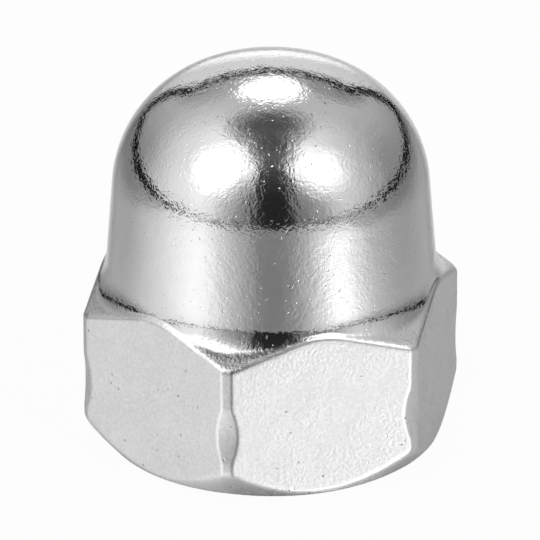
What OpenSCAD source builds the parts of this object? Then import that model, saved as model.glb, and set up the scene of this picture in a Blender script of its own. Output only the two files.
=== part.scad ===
// Domed cap nut: a hexagon under a closed cap, formed as one piece, with a blind tapped hole from below.
// The origin is the centre of the bearing face, and +Z runs along the thread axis to the top of the cap.
// All sizes are in millimetres and angles in degrees.

/* [Hexagon] */
// Width across the flats, the spanner size
across_flats = 13; // [12.7:0.05:13.3]
// Width across the blunted corners, just above their waist
across_corners = 14.78; // [14.6:0.02:14.9]
// Height at which the flat facet on top of each corner reaches the corner
corner_top = 5.62; // [5.54:0.02:5.7]
// Slope of these facets, from the horizontal
facet_slope = 31; // [29:1:33]
// Height of the hexagon at the middle of each flat, between two facets
hexagon_top = 6.56; // [6.5:0.02:6.64]
// Depth to which the edges between the facets and the flats are blunted
lip_depth = 0.08; // [0.04:0.01:0.1]
// Radius of the round where each corner meets the bottom chamfer
foot_round = 0.8; // [0.3:0.05:1]
// Depth of the waist that forming leaves in each corner
waist_depth = 0.11; // [0.05:0.01:0.16]
// Height of the middle of the waist
waist_height = 2.9; // [2.6:0.05:3.2]
// Height over which each corner is waisted
waist_span = 2.2; // [1.6:0.1:2.6]

/* [Bearing face] */
// Diameter of the bearing face
bearing_d = 12.7; // [12.4:0.05:12.96]
// Slope of the chamfer around the bearing face, from the horizontal
bottom_chamfer = 49; // [40:1:52]

/* [Cap] */
// Overall height of the nut
height = 15; // [14.6:0.05:15.4]
// Diameter of the cap where it stands on the hexagon
cap_d = 12.6; // [12.2:0.05:12.7]
// Height at which that diameter is measured
cap_root = 6.62; // [6.4:0.02:6.8]
// Draft of the cap's side, from the vertical
cap_draft = 4.5; // [2:0.25:6]
// Radius of the shoulder between the side and the crown
shoulder_r = 4.9; // [4.4:0.1:5.2]
// Radius of the crown
crown_r = 8; // [7.6:0.1:9]
// Radius of the fillet between the cap and the facets
root_fillet = 1.9; // [1.6:0.05:2.1]

/* [Tapped hole] */
// Diameter of the hole at the crests of the thread
hole_d = 6.8; // [6.6:0.02:6.92]
// Depth of the hole to the start of its drill point
hole_depth = 11; // [9:0.1:11.4]
// Angle of the drill point
point_angle = 120; // [110:1:130]
// Diameter of the countersink in the bearing face
mouth_d = 8.7; // [8.2:0.05:9.2]
// Angle of the countersink
mouth_angle = 90; // [60:5:120]

/* [Hidden] */
$fn = 180;
// How far a cutting shape reaches past the face that it cuts
overcut = 1;
// How far a rounding reaches past its tangent lines, so that it crosses them
weld = 0.0005;
// How far the root fillet runs on below the facets, so that it crosses them
sink = 0.1;
corner_r = across_corners / 2;
bearing_r = bearing_d / 2;
cap_r = cap_d / 2;
hole_r = hole_d / 2;
mouth_r = mouth_d / 2;

// Profile points are [radius, height]. The waist is a shallow arc sunk into the corner line.
waist_r = (pow(waist_span / 2, 2) + pow(waist_depth, 2)) / (2 * waist_depth);
waist_centre = [corner_r - waist_depth + waist_r, waist_height];

// Each corner is rounded into the bottom chamfer by an arc tangent to both.
foot_turn = 90 - bottom_chamfer;
corner_foot = [corner_r, (corner_r - bearing_r) * tan(bottom_chamfer)];
foot_centre = corner_foot + foot_round * [-1, tan(foot_turn / 2)];

// The root fillet is tangent to the drafted side, and to a line just below the facet along its middle.
side_normal = [cos(cap_draft), sin(cap_draft)];
facet_normal = [sin(facet_slope), cos(facet_slope)];
side_reach = side_normal * [cap_r, cap_root];
facet_reach = facet_normal * [corner_r, corner_top];
fillet_centre =
    meet(side_normal, side_reach + root_fillet, facet_normal, facet_reach - sink + root_fillet);
fillet_foot = fillet_centre - root_fillet * facet_normal;
fillet_head = fillet_centre - root_fillet * side_normal;

// The lip between a facet and a flat is a narrow plane that leans equally to both.
lip_sum = [facet_normal[0] + cos(30), sin(30), facet_normal[1]];
lip_azimuth = atan2(lip_sum[1], lip_sum[0]);
lip_rise = asin(lip_sum[2] / norm(lip_sum));
lip_reach = (facet_reach + across_flats / 2) / norm(lip_sum) - lip_depth;

// The shoulder arc is tangent to the drafted side, and to the crown arc from inside it.
crown_centre = [0, height - crown_r];
shoulder_lean = tan(cap_draft);
shoulder_axis_r = (side_reach - shoulder_r) / side_normal[0] - shoulder_lean * crown_centre[1];
shoulder_rise = raise(shoulder_axis_r, shoulder_lean, crown_r - shoulder_r);
shoulder_centre = crown_centre + [shoulder_axis_r - shoulder_lean * shoulder_rise, shoulder_rise];
shoulder_start = shoulder_centre + shoulder_r * side_normal;
crown_angle = atan2(shoulder_rise, shoulder_centre[0]);

// Crossing of two lines, each given by its normal and its distance from the origin along it
function meet(n1, d1, n2, d2) =
    [d1 * n2[1] - d2 * n1[1], n1[0] * d2 - n2[0] * d1] / (n1[0] * n2[1] - n2[0] * n1[1]);

// Height at which a line that starts at radius r and leans inward is a given distance from the origin
function raise(r, lean, distance) =
    (r * lean + sqrt(pow(distance, 2) * (1 + pow(lean, 2)) - pow(r, 2))) / (1 + pow(lean, 2));

// Point at an angle and a distance from a centre
function polar(centre, distance, angle) = centre + distance * [cos(angle), sin(angle)];

// Disc whose edge makes a rounding. It reaches a hair past the lines that it is tangent to.
module disc(centre, radius) {
    translate(centre) circle(radius + weld);
}

// Half section of the hexagon along a corner: bearing face, bottom chamfer, rounded and waisted corner
module corner_section() {
    difference() {
        polygon([
            [0, 0], [bearing_r, 0],
            polar(foot_centre, foot_round, -foot_turn), polar(foot_centre, foot_round, 0),
            [corner_r, hexagon_top], [0, hexagon_top]
        ]);
        translate(waist_centre) circle(waist_r);
    }
    disc(foot_centre, foot_round);
}

// Block above the facet of the corner on the X axis
module facet_cut() {
    outer_r = corner_r + overcut;
    inner_r = corner_r - (height - corner_top) / tan(facet_slope);
    rotate([90, 0, 0]) linear_extrude(across_corners, center = true) polygon([
        [outer_r, corner_top - overcut * tan(facet_slope)], [outer_r, height], [inner_r, height]
    ]);
}

// Block outside the lip between that facet and the flat on one side of it, 1 or -1
module lip_cut(side) {
    rotate([0, 90 - lip_rise, side * lip_azimuth]) translate([-corner_r, -corner_r, lip_reach])
        cube([across_corners, across_corners, overcut]);
}

// Half section of the cap's side, from its core inside the hexagon and its root fillet to the shoulder
module side_section() {
    difference() {
        polygon([
            [0, waist_height], [fillet_foot[0], waist_height], fillet_foot, fillet_centre, fillet_head,
            shoulder_start, [0, shoulder_start[1]]
        ]);
        disc(fillet_centre, root_fillet);
    }
}

// Half section of the cap's top: the shoulder, and the slice of the crown inside it
module crown_section() {
    intersection() {
        disc(shoulder_centre, shoulder_r);
        square([corner_r, height]);
    }
    intersection() {
        translate(crown_centre) circle(crown_r);
        polygon([crown_centre, polar(crown_centre, 2 * crown_r, crown_angle), [0, 2 * height]]);
    }
}

// Hexagonal bar with its corners on the X axis
module hexagon_bar() {
    linear_extrude(height) circle(across_flats / sqrt(3), $fn = 6);
}

// Half section of the blind hole: countersunk mouth, tapping-size bore and drill point
module hole_section() {
    mouth_depth = (mouth_r - hole_r) / tan(mouth_angle / 2);
    point_height = hole_r / tan(point_angle / 2);
    overcut_r = mouth_r + overcut * tan(mouth_angle / 2);
    polygon([
        [0, -overcut], [overcut_r, -overcut], [hole_r, mouth_depth], [hole_r, hole_depth],
        [0, hole_depth + point_height]
    ]);
}

module cap_nut() {
    color([0.8, 0.8, 0.79]) difference() {
        intersection() {
            union() {
                difference() {
                    rotate_extrude() corner_section();
                    for (corner = [0 : 60 : 300]) rotate(corner) {
                        facet_cut();
                        lip_cut(1);
                        lip_cut(-1);
                    }
                }
                rotate_extrude() {
                    side_section();
                    crown_section();
                }
            }
            hexagon_bar();
        }
        rotate_extrude() hole_section();
    }
}

cap_nut();
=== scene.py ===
"""Render model of a domed cap nut: one piece of plated steel on a pale studio floor."""

import math

import bmesh
import bpy
import numpy as np
from mathutils import Matrix, Vector


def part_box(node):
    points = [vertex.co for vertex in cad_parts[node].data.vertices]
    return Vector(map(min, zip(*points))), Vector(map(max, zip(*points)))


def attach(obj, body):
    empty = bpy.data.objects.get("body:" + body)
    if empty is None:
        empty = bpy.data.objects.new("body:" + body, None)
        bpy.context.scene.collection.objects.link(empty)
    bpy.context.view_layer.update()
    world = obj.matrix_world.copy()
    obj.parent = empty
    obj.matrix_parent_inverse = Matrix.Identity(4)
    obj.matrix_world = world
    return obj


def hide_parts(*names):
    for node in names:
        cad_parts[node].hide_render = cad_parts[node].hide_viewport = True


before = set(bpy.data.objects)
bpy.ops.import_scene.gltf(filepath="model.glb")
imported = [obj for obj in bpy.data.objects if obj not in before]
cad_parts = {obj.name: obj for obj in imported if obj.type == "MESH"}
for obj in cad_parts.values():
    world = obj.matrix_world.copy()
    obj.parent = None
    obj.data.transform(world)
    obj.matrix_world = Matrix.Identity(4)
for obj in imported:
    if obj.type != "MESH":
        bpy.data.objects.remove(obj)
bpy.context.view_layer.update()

MM = 0.001
MICRON = 0.001 * MM
WHITE = (1, 1, 1, 1)

# Nut sizes in millimetres: the box comes from the frame, the rest repeats the part's own dimensions
NUT_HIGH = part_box("cap_nut")[1]
CORNER_R = NUT_HIGH.x / MM
FLAT_R = NUT_HIGH.y / MM
HEIGHT = NUT_HIGH.z / MM
CORNER_TOP = 5.62
FACET_SLOPE = math.radians(31)
BOTTOM_CHAMFER = math.radians(49)
FOOT_ROUND = 0.8
BEARING_R = 6.35
WAIST_DEPTH = 0.11
WAIST_HEIGHT = 2.9
WAIST_SPAN = 2.2
CAP_R = 6.3
CAP_ROOT = 6.62
CAP_DRAFT = math.radians(4.5)
SHOULDER_R = 4.9
CROWN_R = 8.0
ROOT_FILLET = 1.9
FILLET_SINK = 0.1
HOLE_R = 3.4
HOLE_DEPTH = 11.0
MOUTH_R = 4.35
POINT_HALF_ANGLE = math.radians(60)

# Angle from one corner of the hexagon to the next, and to the middle of the flat between them
SECTOR = math.radians(60)
HALF_SECTOR = math.radians(30)

# Thread in the hole, right-hand; its crest and root are shares of the pitch
THREAD_PITCH = 1.25
THREAD_ROOT_R = 4.0
THREAD_END = 10.4
THREAD_RUNOUT = 1.2
THREAD_CREST = 0.25
THREAD_ROOT = 0.125

# Softness of the formed edges, in millimetres
EDGE_TOP = 0.15
EDGE_FOOT = 0.12
EDGE_BEARING = 0.1
CORNER_SOFTNESS = 0.04
RIDGE_SOFTNESS = 1.0
FILLET_SOFTNESS = 0.1

# Mesh columns: count, share that is evenly spaced rather than crowded at the corners, step for the hole
COLUMNS_PER_HALF_FLAT = 44
EVEN_SHARE = 0.29
BORE_STEP = 4

# Mesh rows: counts, where the chamfer's start, how the facet's crowd, and shares along the rounded edges
ROWS_PER_PITCH = 12
CHAMFER_ROWS = 8
CHAMFER_START = 0.12
FLAT_ROWS = 38
FACET_ROWS = 22
FACET_CROWDING = 1.4
SIDE_ROWS = 10
SHOULDER_ROWS = 36
CROWN_ROWS = 16
BEARING_EDGE_SHARES = (0, 0.25, 0.5, 0.75)
FOOT_EDGE_SHARES = (0.33, 0.66, 1)
TOP_EDGE_SHARES = (-0.66, -0.33, 0)

# Search for the top edge: start below the corner's top, number of steps, and step for the slope there
SEARCH_BELOW = 0.1
SEARCH_STEPS = 400
SLOPE_STEP = 0.02

# Width of the faces round the hole's mouth, and distance within which points of the mesh become one
MOUTH_RING = 0.4
WELD = 0.0005

# Finish: sizes in millimetres, heights and depths in thousandths of one
GRAIN_SIZE = 0.13
GRAIN_HEIGHT = 5
PEEL_SIZE = 0.5
PEEL_HEIGHT = 12
STROKE_SIZE = 0.35
STROKE_SWIRL = 2.5
STROKE_HEIGHT = 6.5
# Cell, length, width, share of cells, depth
CAP_MARKS = [
    (0.28, 0.3, 0.08, 0.5, 7),
    (0.8, 0.8, 0.05, 0.6, 6),
]
PEBBLE_SIZE = 0.13
PEBBLE_HEIGHT = 11
PEBBLE_PATCHES = (0.5, 1)
# Painted light on the high spots of the pebble and painted shade in its low spots: share added to or taken
# off the colour
PEBBLE_PAINTED_SHADE = 0.045
PIT_CELL = 0.5
PIT_SIZE = 0.1
PIT_SHARE = 0.7
PIT_DEPTH = 35
# Painted shade in the pits of the flats: share taken off the colour
PIT_PAINTED_SHADE = 0.35
# Cell, length, width, share of cells
FLAT_NICKS = (0.4, 0.3, 0.1, 0.7)
NICK_DEPTH = 9
# Share of a dent's reach that is its flat floor
DENT_FLOOR = 0.2
FACET_FADE = 0.12
FACET_GRAIN_SIZE = 0.11
FACET_GRAIN_HEIGHT = 36
FACET_ROUGHNESS = 0.28
CLOUD_SIZE = 1.6
CAP_ROUGHNESS = (0.05, 0.1)
FLAT_ROUGHNESS = (0.26, 0.32)
COLOUR_LEVELS = (0.78, 0.84)
GREEN_SHARE = 0.99
BLUE_SHARE = 0.995
# Span of a noise, which runs from 0 to 1, over which it turns one value into another
PATCH_SPAN = (0.35, 0.65)
TONE_SPAN = (0.3, 0.7)
COLOUR_SPAN = (0.2, 0.8)

# Stage discs, in metres
STAGE_R = 0.6
STAGE_SIDES = 96

# Floor, and the share of white that it shows where it is seen or mirrored
FLOOR_HEIGHT = -0.01 * MM
FLOOR_COLOUR = (0.86, 0.86, 0.86, 1)
FLOOR_ROUGHNESS = 0.5
FLOOR_WHITE = 0.95

# Polished plate that the metal mirrors, just above the floor
PLATE_HEIGHT = -0.005 * MM
PLATE_METAL = 0.88
PLATE_ROUGHNESS = 0.38
# It is brightest in front of the nut, turned from the camera by an angle in degrees, and darker to the sides:
# painted light and painted shade in its colour
PLATE_TURN = -20
PLATE_BEHIND = 0.15
PLATE_MIDDLE = 5 * MM
PLATE_SIDE = 85 * MM
PLATE_PAINTED_LEVELS = (0.97, 0.42)

# Light tent, in degrees from the nut, with azimuths to the right of the camera; levels are radiance
WALL_LEVEL = 0.28
# Dark opening for the lens: azimuth, half widths of core and edge, elevations of its fade, light left
OPENING_AZIMUTH = 2
OPENING_CORE = 3
OPENING_EDGE = 22
OPENING_FADE = 47
OPENING_TOP = 85
OPENING_SHARE = 0.08
# Darker places: azimuth, elevation, radius of the core, radius of the edge, share of the light taken away
SHADES = [
    (-140, 88, 3, 28, 0.9),
    (155, 35, 3, 16, 0.45),
    (-155, 35, 3, 16, 0.3),
    (2, 67, 0, 21, 0.89),
    (2, 9, 16, 56, 0.82),
]
# Dark seam at the foot of the walls: angles from the opening over which it comes in, goes out and thickens
SEAM_FRONT = (12, 25)
SEAM_BACK = (150, 165)
SEAM_SPREAD = (45, 120)
# Elevations at which it is full and gone, its rise at the back, and the share of light left
SEAM_TOP = 0.4
SEAM_FADE = 2
SEAM_REAR = 3.5
SEAM_SHARE = 0.02
# Back panel and its dark frame, measured on a plane one unit behind the nut
PANEL_HALF_WIDTH = 0.45
PANEL_HEIGHT = 0.57
PANEL_LEVEL = 0.28
PANEL_FRAME = 0.05
PANEL_FRAME_SHARE = 0.04
# Least depth of a direction towards that plane, so that nothing is divided by zero
PANEL_LEAST_DEPTH = 0.01
# Lamps: azimuth, elevation, radius of the core, radius of the edge, level; the right one is two of these
LAMPS = [
    (-53, 41, 0, 23, 0.8),
    (48, 41, 0, 26, 0.45),
    (48, 41, 0, 10, 9),
    (180, 50, 2, 12, 3),
]
# The same for the glow of the walls
GLOWS = [
    (-36, 25, 0, 86, 0.72),
    (20, 30, 0, 81, 0.57),
    (180, 60, 0, 70, 0.29),
    (180, 0, 2, 16, 0.6),
]

# Camera, fitted to the photograph; angles in degrees
CAMERA_AZIMUTH = -16.8
CAMERA_ELEVATION = 25.0
CAMERA_ROLL = -0.14
CAMERA_DISTANCE = 325 * MM
CAMERA_CLIP = (0.01, 5)
SENSOR_WIDTH = 36
PIXELS_PER_MM = 26.3
PICTURE_SIDE = 540
TARGET_RIGHT = -0.046 * MM
TARGET_HEIGHT = 6.46 * MM


def sine(degrees):
    return math.sin(math.radians(degrees))


def cosine(degrees):
    return math.cos(math.radians(degrees))


def toward(azimuth, elevation):
    """Direction from the nut, at an azimuth to the right of the camera and an elevation, in degrees."""
    turn = CAMERA_AZIMUTH + azimuth
    level = cosine(elevation)
    return Vector((sine(turn) * level, -cosine(turn) * level, sine(elevation)))


def smooth_min(a, b, blend):
    """Lower of two surfaces, with the crease between them rounded over a band of the given width."""
    near = np.maximum(blend - np.abs(a - b), 0)
    return np.minimum(a, b) - near ** 2 / (4 * blend)


def smooth_max(a, b, blend):
    """Higher of two surfaces, with the hollow between them filled over a band of the given width."""
    return -smooth_min(-a, -b, blend)


class NutForm:
    """Radius of the nut's outer surfaces at each height."""

    def __init__(self):
        side = np.array([math.cos(CAP_DRAFT), math.sin(CAP_DRAFT)])
        facet = np.array([math.sin(FACET_SLOPE), math.cos(FACET_SLOPE)])
        side_reach = side @ [CAP_R, CAP_ROOT]
        facet_reach = facet @ [CORNER_R, CORNER_TOP] - FILLET_SINK
        self.fillet = np.linalg.solve([side, facet], [side_reach + ROOT_FILLET, facet_reach + ROOT_FILLET])
        self.fillet_foot = self.fillet - ROOT_FILLET * facet
        self.fillet_head = self.fillet - ROOT_FILLET * side
        lean = math.tan(CAP_DRAFT)
        crown = HEIGHT - CROWN_R
        axis_r = (side_reach - SHOULDER_R) / side[0] - lean * crown
        gap = CROWN_R - SHOULDER_R
        rise = (axis_r * lean + math.sqrt(gap ** 2 * (1 + lean ** 2) - axis_r ** 2)) / (1 + lean ** 2)
        self.crown = np.array([0, crown])
        self.shoulder = np.array([axis_r - lean * rise, crown + rise])
        self.shoulder_start = self.shoulder + SHOULDER_R * side
        self.crown_angle = math.atan2(rise, self.shoulder[0])
        self.waist_r = ((WAIST_SPAN / 2) ** 2 + WAIST_DEPTH ** 2) / (2 * WAIST_DEPTH)

    def corner(self, z):
        """The corner line, sunk by the waist."""
        offset = np.minimum(np.abs(z - WAIST_HEIGHT), WAIST_SPAN / 2)
        sunk = np.sqrt(self.waist_r ** 2 - offset ** 2) - (self.waist_r - WAIST_DEPTH)
        return CORNER_R - np.maximum(sunk, 0)

    def bottom(self, z):
        """The chamfer round the bearing face."""
        return BEARING_R + z / math.tan(BOTTOM_CHAMFER)

    def root(self, z):
        """Root fillet and side of the cap, up to the shoulder."""
        drop = np.clip(z, self.fillet_foot[1], None) - self.fillet[1]
        fillet = self.fillet[0] - np.sqrt(ROOT_FILLET ** 2 - np.clip(drop, -ROOT_FILLET, 0) ** 2)
        side = CAP_R - (z - CAP_ROOT) * math.tan(CAP_DRAFT)
        return np.where(z < self.fillet_head[1], fillet, side)

    def facet(self, z, theta):
        """Flat facet on the nearest corner, rounded into the next corner's along the ridge between them."""
        from_corner = np.abs((theta + HALF_SECTOR) % SECTOR - HALF_SECTOR)
        middle = CORNER_R - (z - CORNER_TOP) / math.tan(FACET_SLOPE)
        own = middle / np.cos(from_corner)
        next_one = middle / np.cos(SECTOR - from_corner)
        return smooth_min(own, next_one, RIDGE_SOFTNESS)

    def top(self, z, theta):
        """Facets, root fillet and side of the cap, up to the shoulder."""
        return smooth_max(self.facet(z, theta), self.root(z), FILLET_SOFTNESS)

    def cap(self):
        """Points [radius, height] up the side, round the shoulder and over the crown, without its top."""
        along = np.linspace(0, 1, SIDE_ROWS + 1)[1:, None]
        side = self.fillet_head * (1 - along) + self.shoulder_start * along
        turn = np.linspace(CAP_DRAFT, self.crown_angle, SHOULDER_ROWS + 1)[1:]
        shoulder = self.shoulder + SHOULDER_R * np.stack([np.cos(turn), np.sin(turn)], 1)
        turn = np.linspace(self.crown_angle, math.pi / 2, CROWN_ROWS + 1)[1:-1]
        crown = self.crown + CROWN_R * np.stack([np.cos(turn), np.sin(turn)], 1)
        return np.concatenate([side, shoulder, crown])


def column_angles():
    """Angles of the mesh columns, closer together at the six corners."""
    step = np.arange(-COLUMNS_PER_HALF_FLAT, COLUMNS_PER_HALF_FLAT) / COLUMNS_PER_HALF_FLAT
    offset = HALF_SECTOR * (EVEN_SHARE * step + (1 - EVEN_SHARE) * step ** 3)
    return np.concatenate([SECTOR * corner + offset for corner in range(6)])


def outer_rows(form, theta):
    """Radius, height, share of flat and share of facet by row and column, up to the side of the cap."""
    from_flat = (theta + SECTOR) % SECTOR - HALF_SECTOR
    flat = FLAT_R / np.cos(from_flat)
    column = smooth_min(flat, CORNER_R, CORNER_SOFTNESS)
    foot = (column - BEARING_R) * math.tan(BOTTOM_CHAMFER)
    foot_reach = FOOT_ROUND * math.tan((math.pi / 2 - BOTTOM_CHAMFER) / 2)
    edge_foot = EDGE_FOOT + (foot_reach - EDGE_FOOT) * (column - FLAT_R) / (CORNER_R - FLAT_R)
    heights = np.linspace(CORNER_TOP - SEARCH_BELOW, form.fillet_head[1], SEARCH_STEPS)[::-1, None]
    tops = form.top(heights, theta)
    head = np.array([np.interp(column[i], tops[:, i], heights[:, 0]) for i in range(len(theta))])

    # Rows: the bottom chamfer and its edge, the flat with its waist, the top edge, then facet and fillet
    rows = [foot * share for share in np.linspace(CHAMFER_START, 1, CHAMFER_ROWS)]
    rows += [foot + edge_foot * share for share in FOOT_EDGE_SHARES]
    low = foot + edge_foot
    high = head - EDGE_TOP
    rows += [low + (high - low) * share for share in np.linspace(0, 1, FLAT_ROWS)[1:]]
    rows += [head + EDGE_TOP * share for share in TOP_EDGE_SHARES]
    rise = form.fillet_head[1] - head
    rows += [head + rise * share ** FACET_CROWDING for share in np.linspace(0, 1, FACET_ROWS)[1:]]
    z = np.stack(rows)

    fall = form.top(head - SLOPE_STEP, theta) - form.top(head + SLOPE_STEP, theta)
    steepness = fall / (2 * SLOPE_STEP)
    wall = smooth_min(flat, form.corner(z), CORNER_SOFTNESS)
    above_foot = smooth_min(wall, form.bottom(z), edge_foot / math.tan(BOTTOM_CHAMFER))
    r = smooth_min(above_foot, form.top(z, theta), EDGE_TOP * steepness)

    # Finish: half and half on the edge between a flat and a facet
    share_flat = np.clip((head - z) / EDGE_TOP + 0.5, 0, 1)
    on_facet = np.clip((form.facet(z, theta) - form.root(z)) / FACET_FADE, 0, 1)
    share_facet = on_facet * (1 - share_flat)

    # Rounded bearing edge, from the flat underside into the chamfer
    edge = np.array(BEARING_EDGE_SHARES)[:, None]
    inner = BEARING_R - EDGE_BEARING
    edge_r = (1 - edge) ** 2 * inner + 2 * edge * (1 - edge) * BEARING_R + edge ** 2 * r[0]
    edge_z = edge ** 2 * z[0]
    plain = np.zeros_like(edge_r)
    return (
        np.concatenate([edge_r, r]),
        np.concatenate([edge_z, z]),
        np.concatenate([plain, share_flat]),
        np.concatenate([plain, share_facet]),
    )


def thread_depth(phase):
    """Depth of the thread at a phase of 0 to 1: crest, flank, root and flank of a 60 degree form."""
    flank = (1 - THREAD_CREST - THREAD_ROOT) / 2
    rise = np.clip((phase - THREAD_CREST / 2) / flank, 0, 1)
    fall = np.clip((1 - THREAD_CREST / 2 - phase) / flank, 0, 1)
    return np.minimum(rise, fall)


def bore_rows(theta):
    """Radius and height of the thread's rows by column, from the mouth up. The rows wind with the thread."""
    mouth_end = MOUTH_R - THREAD_ROOT_R
    turns = math.ceil((THREAD_END - mouth_end) / THREAD_PITCH) + 1
    wind = theta / (2 * math.pi)
    rows = []
    for step in range(turns * ROWS_PER_PITCH + 1):
        turn = step / ROWS_PER_PITCH - 1 + wind
        z = np.clip(mouth_end + turn * THREAD_PITCH, mouth_end, THREAD_END)
        fade = np.clip((THREAD_END - z) / THREAD_RUNOUT, 0, 1)
        thread = HOLE_R + (THREAD_ROOT_R - HOLE_R) * thread_depth(turn % 1.0) * fade
        rows.append((np.maximum(thread, MOUTH_R - z), z))
    return rows


class MeshBuilder:
    """Vertices and faces of the nut, with the shares of flat and of facet finish at each vertex."""

    def __init__(self):
        self.points = []
        self.flat = []
        self.facet = []
        self.faces = []
        self.count = 0

    def ring(self, r, z, theta, flat=0.0, facet=0.0):
        """Vertices of one ring, given back by number."""
        r = np.broadcast_to(r, theta.shape)
        z = np.broadcast_to(z, theta.shape)
        self.points.append(np.stack([r * np.cos(theta), r * np.sin(theta), z], 1) * MM)
        self.flat.append(np.broadcast_to(flat, theta.shape))
        self.facet.append(np.broadcast_to(facet, theta.shape))
        first = self.count
        self.count += len(theta)
        return list(range(first, self.count))

    def point(self, z):
        """One vertex on the axis."""
        return self.ring(0.0, z, np.zeros(1))[0]

    def band(self, lower, upper):
        """Quads between two rings."""
        size = len(lower)
        for i in range(size):
            j = (i + 1) % size
            self.faces.append((lower[i], lower[j], upper[j], upper[i]))

    def fan(self, ring, tip, flip=False):
        """Triangles from a ring to a point."""
        size = len(ring)
        for i in range(size):
            j = (i + 1) % size
            self.faces.append((ring[j], ring[i], tip) if flip else (ring[i], ring[j], tip))


def nut_mesh():
    """Closed mesh of the nut: outside, bearing face, and the blind hole with its thread."""
    form = NutForm()
    theta = column_angles()
    build = MeshBuilder()

    outside = [build.ring(r, z, theta, flat, facet) for r, z, flat, facet in zip(*outer_rows(form, theta))]
    outside += [build.ring(r, z, theta) for r, z in form.cap()]
    for lower, upper in zip(outside, outside[1:]):
        build.band(lower, upper)
    build.fan(outside[-1], build.point(HEIGHT))

    # Bearing face: two full rings, then wide faces to the hole's coarser columns
    bore_theta = theta[::BORE_STEP]
    inner = build.ring(MOUTH_R + MOUTH_RING, 0.0, theta)
    middle = build.ring((MOUTH_R + BEARING_R) / 2, 0.0, theta)
    build.band(middle, outside[0])
    build.band(inner, middle)
    mouth = build.ring(MOUTH_R, 0.0, bore_theta)
    size = len(theta)
    for k in range(len(mouth)):
        outer = [inner[(k * BORE_STEP + step) % size] for step in range(BORE_STEP + 1)]
        build.faces.append([mouth[k], mouth[(k + 1) % len(mouth)]] + outer[::-1])

    # Hole: the thread's rows rise by one pitch a turn, so the last column joins one pitch higher
    rows = [build.ring(r, z, bore_theta) for r, z in bore_rows(bore_theta)]
    first = build.ring(THREAD_ROOT_R, MOUTH_R - THREAD_ROOT_R, bore_theta)
    build.band(first, mouth)
    columns = len(bore_theta)
    for index in range(len(rows) - 1):
        for i in range(columns):
            j = (i + 1) % columns
            lift = ROWS_PER_PITCH if j == 0 else 0
            low = min(index + lift, len(rows) - 1)
            high = min(index + 1 + lift, len(rows) - 1)
            build.faces.append((rows[index][i], rows[index + 1][i], rows[high][j], rows[low][j]))
    plain = build.ring(HOLE_R, THREAD_END, bore_theta)
    bottom = build.ring(HOLE_R, HOLE_DEPTH, bore_theta)
    build.band(bottom, plain)
    build.fan(bottom, build.point(HOLE_DEPTH + HOLE_R / math.tan(POINT_HALF_ANGLE)), flip=True)
    return build


def nut_object(material):
    """The nut as one smooth object in place of the solid."""
    build = nut_mesh()
    mesh = bpy.data.meshes.new("cap_nut_finished")
    mesh.from_pydata(np.concatenate(build.points).tolist(), [], build.faces)
    for name, shares in (("flat_finish", build.flat), ("facet_finish", build.facet)):
        finish = mesh.attributes.new(name, "FLOAT", "POINT")
        finish.data.foreach_set("value", np.concatenate(shares).astype(np.float32))

    # The rows that the thread's ends share become one, which closes the mesh
    solid = bmesh.new()
    solid.from_mesh(mesh)
    bmesh.ops.remove_doubles(solid, verts=solid.verts, dist=WELD * MM)
    bmesh.ops.dissolve_degenerate(solid, edges=solid.edges, dist=WELD * MM)
    bmesh.ops.recalc_face_normals(solid, faces=solid.faces)
    solid.to_mesh(mesh)
    solid.free()

    mesh.shade_smooth()
    mesh.materials.append(material)
    nut = bpy.data.objects.new("cap_nut_finished", mesh)
    bpy.context.collection.objects.link(nut)
    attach(nut, "root")
    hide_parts("cap_nut")


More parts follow.
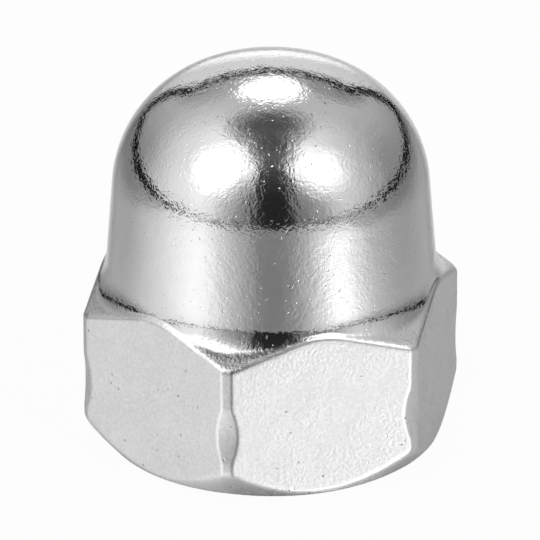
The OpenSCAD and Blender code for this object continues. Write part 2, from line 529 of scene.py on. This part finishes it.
class Nodes:
    """Short calls that add shader nodes to a material or world and link them."""

    def __init__(self, tree):
        self.tree = tree

    def add(self, kind, inputs, **settings):
        node = self.tree.nodes.new("ShaderNode" + kind)
        for name, value in settings.items():
            setattr(node, name, value)
        for name, value in inputs.items():
            self.feed(node.inputs[name], value)
        return node

    def feed(self, socket, value):
        """Link a socket to another, or set its value."""
        if isinstance(value, bpy.types.NodeSocket):
            self.tree.links.new(value, socket)
        else:
            socket.default_value = value

    def math(self, operation, first, second=0.0):
        return self.add("Math", {0: first, 1: second}, operation=operation).outputs[0]

    def product(self, *factors):
        result = factors[0]
        for factor in factors[1:]:
            result = self.math("MULTIPLY", result, factor)
        return result

    def total(self, *terms):
        result = terms[0]
        for term in terms[1:]:
            result = self.math("ADD", result, term)
        return result

    def vector(self, operation, inputs):
        return self.add("VectorMath", inputs, operation=operation).outputs["Vector"]

    def dot(self, first, second):
        return self.add("VectorMath", {0: first, 1: second}, operation="DOT_PRODUCT").outputs["Value"]

    def fade(self, value, start, end, low=0.0, high=1.0):
        """Smooth step from low at start to high at end."""
        inputs = {"Value": value, "From Min": start, "From Max": end, "To Min": low, "To Max": high}
        return self.add("MapRange", inputs, interpolation_type="SMOOTHSTEP").outputs["Result"]

    def noise(self, place, size, detail, swirl=0.0):
        """Soft noise from 0 to 1 with features of the given size."""
        inputs = {"Vector": place, "Scale": 1 / size, "Detail": detail, "Distortion": swirl}
        return self.add("TexNoise", inputs).outputs["Fac"]

    def dents(self, place, cell, length, width, share):
        """Long or round dents, 1 deep, at random angles: up to one in each cell, in a share of the cells."""
        cells = self.add("TexVoronoi", {"Vector": place, "Scale": 1 / cell, "Randomness": 1}).outputs
        # The cell's own point comes back in the units of the place
        local = self.vector("SUBTRACT", {0: place, 1: cells["Position"]})
        spin = self.vector("SCALE", {0: cells["Color"], "Scale": 2 * math.pi})
        turned = self.add("VectorRotate", {"Vector": local, "Rotation": spin}, rotation_type="EULER_XYZ")
        stretch = (2 / length, 2 / width, 2 / width)
        stretched = self.vector("MULTIPLY", {0: turned.outputs["Vector"], 1: stretch})
        reach = self.add("VectorMath", {0: stretched}, operation="LENGTH").outputs["Value"]
        luck = self.add("SeparateColor", {"Color": cells["Color"]}).outputs["Green"]
        return self.product(self.fade(reach, 1, DENT_FLOOR), self.math("LESS_THAN", luck, share))

    def lobe(self, direction, azimuth, elevation, core, edge, level):
        """Soft round light on the sky, full within its core and gone at its edge."""
        facing = self.dot(direction, toward(azimuth, elevation))
        return self.fade(facing, cosine(edge), cosine(core), 0, level)


def new_material(name):
    """Material, its shader, and calls that add nodes to it."""
    material = bpy.data.materials.new(name)
    material.use_nodes = True
    return material, material.node_tree.nodes["Principled BSDF"], Nodes(material.node_tree)


def plated_steel():
    """Bright plating: mirror-like on the cap, satin and pebbled on the flats, grainy on the facets."""
    material, shader, nodes = new_material("plated_steel_finish")
    shader.inputs["Metallic"].default_value = 1
    metres = nodes.add("TexCoord", {}).outputs["Object"]
    place = nodes.vector("SCALE", {0: metres, "Scale": 1 / MM})
    flat = nodes.add("Attribute", {}, attribute_name="flat_finish").outputs["Fac"]
    facet = nodes.add("Attribute", {}, attribute_name="facet_finish").outputs["Fac"]
    cap = nodes.math("SUBTRACT", nodes.math("SUBTRACT", 1, flat), facet)

    def by_finish(on_cap, on_flat, on_facet):
        """One value from those of the three finishes, by their shares."""
        pairs = [(on_cap, cap), (on_flat, flat), (on_facet, facet)]
        return nodes.total(*[nodes.product(value, share) for value, share in pairs])

    # Relief of the cap: fine grain, orange peel, polishing strokes and small marks
    grain = nodes.product(nodes.noise(place, GRAIN_SIZE, detail=2), GRAIN_HEIGHT)
    peel = nodes.product(nodes.noise(place, PEEL_SIZE, detail=2), PEEL_HEIGHT)
    strokes = nodes.product(nodes.noise(place, STROKE_SIZE, detail=1, swirl=STROKE_SWIRL), STROKE_HEIGHT)
    marks = [nodes.product(nodes.dents(place, *dent), depth) for *dent, depth in CAP_MARKS]
    cap_height = nodes.math("SUBTRACT", nodes.total(grain, peel, strokes), nodes.total(*marks))

    # Relief of the flats: pebbled in patches, with pits and nicks
    cloud = nodes.noise(place, CLOUD_SIZE, detail=3)
    patches = nodes.fade(cloud, *PATCH_SPAN, *PEBBLE_PATCHES)
    pebble_noise = nodes.noise(place, PEBBLE_SIZE, detail=3)
    pebble = nodes.product(pebble_noise, PEBBLE_HEIGHT, patches)
    pits = nodes.dents(place, PIT_CELL, PIT_SIZE, PIT_SIZE, PIT_SHARE)
    nicks = nodes.dents(place, *FLAT_NICKS)
    sunk = nodes.total(nodes.product(pits, PIT_DEPTH), nodes.product(nicks, NICK_DEPTH))
    flat_height = nodes.math("SUBTRACT", pebble, sunk)

    facet_height = nodes.product(nodes.noise(place, FACET_GRAIN_SIZE, detail=2), FACET_GRAIN_HEIGHT)
    height = by_finish(cap_height, flat_height, facet_height)
    bump = nodes.add("Bump", {"Height": height, "Distance": MICRON, "Strength": 1})
    nodes.feed(shader.inputs["Normal"], bump.outputs["Normal"])

    # Roughness wanders a little on the cap and on the flats
    rough_cap = nodes.fade(cloud, *TONE_SPAN, *CAP_ROUGHNESS)
    rough_flat = nodes.fade(cloud, *TONE_SPAN, *FLAT_ROUGHNESS)
    nodes.feed(shader.inputs["Roughness"], by_finish(rough_cap, rough_flat, FACET_ROUGHNESS))

    # Colour: nearly neutral and a little uneven at random, with painted light and shade on the pebble of the
    # flats and painted shade in their pits
    # Painted light and shade on the flats, following the pebble's height
    pebble_painted_light_and_shade = nodes.product(nodes.fade(pebble_noise, *TONE_SPAN, -PEBBLE_PAINTED_SHADE, PEBBLE_PAINTED_SHADE), flat)
    uneven = nodes.total(nodes.fade(cloud, *COLOUR_SPAN, *COLOUR_LEVELS), pebble_painted_light_and_shade)
    red = nodes.math("SUBTRACT", uneven, nodes.product(pits, flat, PIT_PAINTED_SHADE))
    green = nodes.product(red, GREEN_SHARE)
    blue = nodes.product(red, BLUE_SHARE)
    colour = nodes.add("CombineColor", {"Red": red, "Green": green, "Blue": blue})
    nodes.feed(shader.inputs["Base Color"], colour.outputs["Color"])
    return material


def stage_disc(name, height, material):
    """Flat disc under the nut."""
    bpy.ops.mesh.primitive_circle_add(
        vertices=STAGE_SIDES, radius=STAGE_R, fill_type="NGON", location=(0, 0, height)
    )
    disc = bpy.context.object
    disc.name = name
    disc.data.materials.append(material)
    return disc


def studio_floor():
    """Pale floor that takes the shadow, and is white where it is seen or mirrored."""
    material, shader, nodes = new_material("floor")
    shader.inputs["Base Color"].default_value = FLOOR_COLOUR
    shader.inputs["Roughness"].default_value = FLOOR_ROUGHNESS
    path = nodes.add("LightPath", {}).outputs
    seen = nodes.math("MAXIMUM", path["Is Camera Ray"], path["Is Glossy Ray"])
    seen = nodes.math("MAXIMUM", seen, path["Is Transmission Ray"])
    share = nodes.product(seen, FLOOR_WHITE)
    white = nodes.add("Emission", {"Color": WHITE, "Strength": 1}).outputs["Emission"]
    mixed = nodes.add("MixShader", {"Fac": share, 1: shader.outputs["BSDF"], 2: white})
    nodes.feed(material.node_tree.nodes["Material Output"].inputs["Surface"], mixed.outputs["Shader"])
    floor = stage_disc("studio_floor", FLOOR_HEIGHT, material)


def studio_plate():
    """Polished plate under the nut that only reflections show, so that the metal mirrors the tent in it, with
    painted light and shade in its colour.
    """
    material, shader, nodes = new_material("plate")
    metres = nodes.add("TexCoord", {}).outputs["Object"]
    sideways = nodes.math("ABSOLUTE", nodes.dot(metres, toward(PLATE_TURN + 90, 0)))
    forward = nodes.dot(metres, toward(PLATE_TURN, 0))
    nearness = nodes.math("MAXIMUM", forward, nodes.product(forward, PLATE_BEHIND))
    reach = nodes.math("SUBTRACT", sideways, nearness)
    # Painted light in front of the nut and painted shade to the sides, which the metal shows as reflections
    level = nodes.fade(reach, PLATE_MIDDLE, PLATE_SIDE, *PLATE_PAINTED_LEVELS)
    colour = nodes.add("CombineColor", {"Red": level, "Green": level, "Blue": level})
    nodes.feed(shader.inputs["Base Color"], colour.outputs["Color"])
    shader.inputs["Roughness"].default_value = PLATE_ROUGHNESS
    shader.inputs["Metallic"].default_value = PLATE_METAL
    plate = stage_disc("studio_plate", PLATE_HEIGHT, material)
    plate.visible_camera = False
    plate.visible_diffuse = False
    plate.visible_shadow = False


def studio_world():
    """Light tent: pale walls with three soft lamps behind them, a dark opening for the lens, a back panel."""
    world = bpy.data.worlds.new("studio")
    bpy.context.scene.world = world
    world.use_nodes = True
    nodes = Nodes(world.node_tree)
    direction = nodes.add("TexCoord", {}).outputs["Generated"]
    height = nodes.dot(direction, (0, 0, 1))
    level = nodes.vector("MULTIPLY", {0: direction, 1: (1, 1, 0)})
    compass = nodes.vector("NORMALIZE", {0: level})
    ahead = nodes.dot(compass, toward(OPENING_AZIMUTH, 0))

    # Walls, darker in the shades, along their foot, and at the opening for the lens
    opening = nodes.product(
        nodes.fade(ahead, cosine(OPENING_EDGE), cosine(OPENING_CORE)),
        nodes.fade(height, sine(OPENING_TOP), sine(OPENING_FADE)),
    )
    glows = [nodes.lobe(direction, *glow) for glow in GLOWS]
    rear_rise = nodes.fade(ahead, cosine(SEAM_SPREAD[0]), cosine(SEAM_SPREAD[1]), 0, sine(SEAM_REAR))
    seam = nodes.product(
        nodes.fade(nodes.math("SUBTRACT", height, rear_rise), sine(SEAM_FADE), sine(SEAM_TOP)),
        nodes.fade(ahead, cosine(SEAM_FRONT[0]), cosine(SEAM_FRONT[1])),
        nodes.fade(ahead, cosine(SEAM_BACK[1]), cosine(SEAM_BACK[0])),
    )
    walls = nodes.product(
        nodes.total(WALL_LEVEL, *glows),
        nodes.fade(opening, 0, 1, 1, OPENING_SHARE),
        nodes.fade(seam, 0, 1, 1, SEAM_SHARE),
        *[nodes.math("SUBTRACT", 1, nodes.lobe(direction, *shade)) for shade in SHADES],
    )

    # Back panel: how far a direction passes outside it, on its plane
    depth = nodes.math("MAXIMUM", nodes.dot(direction, toward(180, 0)), PANEL_LEAST_DEPTH)
    across = nodes.math("DIVIDE", nodes.math("ABSOLUTE", nodes.dot(direction, toward(90, 0))), depth)
    upward = nodes.math("DIVIDE", height, depth)
    beside = nodes.math("SUBTRACT", across, PANEL_HALF_WIDTH)
    above = nodes.math("SUBTRACT", upward, PANEL_HEIGHT)
    outside = nodes.math("MAXIMUM", beside, above)
    frame_line = nodes.product(
        nodes.fade(outside, -PANEL_FRAME, 0),
        nodes.fade(outside, 3 * PANEL_FRAME, 2 * PANEL_FRAME),
    )
    walls = nodes.total(walls, nodes.fade(outside, 0, -PANEL_FRAME, 0, PANEL_LEVEL))
    walls = nodes.product(walls, nodes.fade(frame_line, 0, 1, 1, PANEL_FRAME_SHARE))

    lamps = [nodes.lobe(direction, *lamp) for lamp in LAMPS]
    background = world.node_tree.nodes["Background"]
    background.inputs["Color"].default_value = WHITE
    nodes.feed(background.inputs["Strength"], nodes.total(walls, *lamps))


def photograph_camera():
    """Camera fitted to the photograph."""
    data = bpy.data.cameras.new("photograph_camera")
    data.sensor_width = SENSOR_WIDTH
    data.lens = PIXELS_PER_MM * CAMERA_DISTANCE / MM * SENSOR_WIDTH / PICTURE_SIDE
    data.clip_start, data.clip_end = CAMERA_CLIP
    camera = bpy.data.objects.new("photograph_camera", data)
    bpy.context.collection.objects.link(camera)
    back = toward(0, CAMERA_ELEVATION)
    target = TARGET_RIGHT * toward(90, 0) + Vector((0, 0, TARGET_HEIGHT))
    place = Matrix.Translation(target + back * CAMERA_DISTANCE)
    turn = (-back).to_track_quat("-Z", "Y").to_matrix().to_4x4()
    roll = Matrix.Rotation(math.radians(CAMERA_ROLL), 4, "Z")
    camera.matrix_world = place @ turn @ roll
    bpy.context.scene.camera = camera


nut_object(plated_steel())
studio_floor()
studio_plate()
studio_world()
photograph_camera()
bpy.context.scene.view_settings.view_transform = "Standard"
